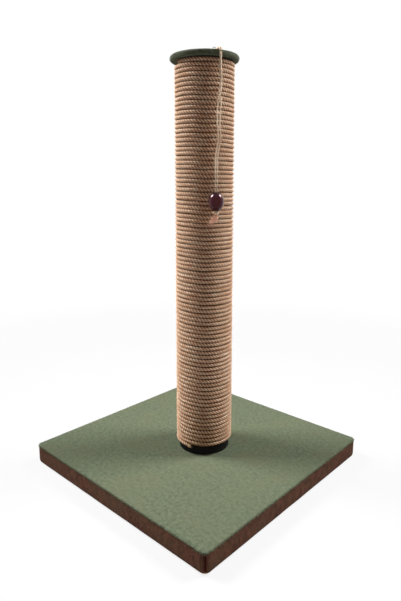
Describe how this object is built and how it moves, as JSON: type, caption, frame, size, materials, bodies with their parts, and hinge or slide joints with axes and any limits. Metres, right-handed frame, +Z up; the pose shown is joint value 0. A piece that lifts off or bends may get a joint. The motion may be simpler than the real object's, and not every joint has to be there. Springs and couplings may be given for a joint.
{
  "type": "cat scratching post",
  "caption": "Free-standing cat scratching post: rope-wound round post on a square plush-covered base, with a fabric-covered top disc and a bead toy hanging on twine.",
  "frame": {"origin": "middle of the base's underside, on the floor that it stands on", "axes": "+Z up along the post; X and Y along the base's sides; the toy hangs on the +X side, turned 23.5 degrees towards -Y"},
  "size_m": [0.35, 0.35, 0.6015],
  "materials": {
    "chipboard": "bare chipboard",
    "green_plush": "short plush, grey-green",
    "brown_felt": "needle felt, dark brown",
    "lining": "thin non-woven sheet, black",
    "steel": "zinc-plated",
    "pad_rubber": "black rubber",
    "black_plastic": "satin black moulded plastic",
    "cardboard": "spiral-wound cardboard",
    "sisal_rope": "laid natural-fibre rope, reddish tan",
    "plug_wood": "sawn wood",
    "disc_fabric": "short-pile fabric, dark green",
    "twine": "twisted twine, reddish tan",
    "bead_gloss": "deep burgundy, glossy",
    "frayed_twine": "loose fibres, pinkish tan"
  },
  "bodies": {
    "post": {"base_board": "chipboard", "top_cover": "green_plush", "edge_band": "brown_felt", "underside_lining": "lining", "hem_staples": "steel", "anti_slip_pads": "pad_rubber", "post_bolt": "steel", "cap_nut": "steel", "lower_end_cap": "black_plastic", "post_tube": "cardboard", "rope": "sisal_rope", "upper_plug": "plug_wood", "disc_screw": "steel", "top_disc": "plug_wood", "disc_cover": "disc_fabric", "twine_over_disc": "twine", "twine_staple": "steel"},
    "bend": {"twine_bend": "twine"},
    "toy": {"twine_upper": "twine", "upper_knot": "twine", "twine_left": "twine", "twine_right": "twine", "lower_knot": "twine", "frayed_end_left": "frayed_twine", "frayed_end_right": "frayed_twine"},
    "toy_bead": {"bead": "bead_gloss"}
  },
  "joints": [
    {"name": "toy_sideways", "type": "hinge", "parent": "post", "child": "bend", "pos_m": [0.05112, -0.01323, 0.5989], "axis": [0.9171, -0.3987, 0], "range_deg": [-60, 60]},
    {"name": "toy_outward", "type": "hinge", "parent": "bend", "child": "toy", "pos_m": [0.05516, -0.01498, 0.5926], "axis": [-0.3987, -0.9171, 0], "range_deg": [0, 90]},
    {"name": "bead_slide", "type": "slide", "parent": "toy", "child": "toy_bead", "axis": [0, 0, 1], "range_m": [0, 0.028]}
  ]
}
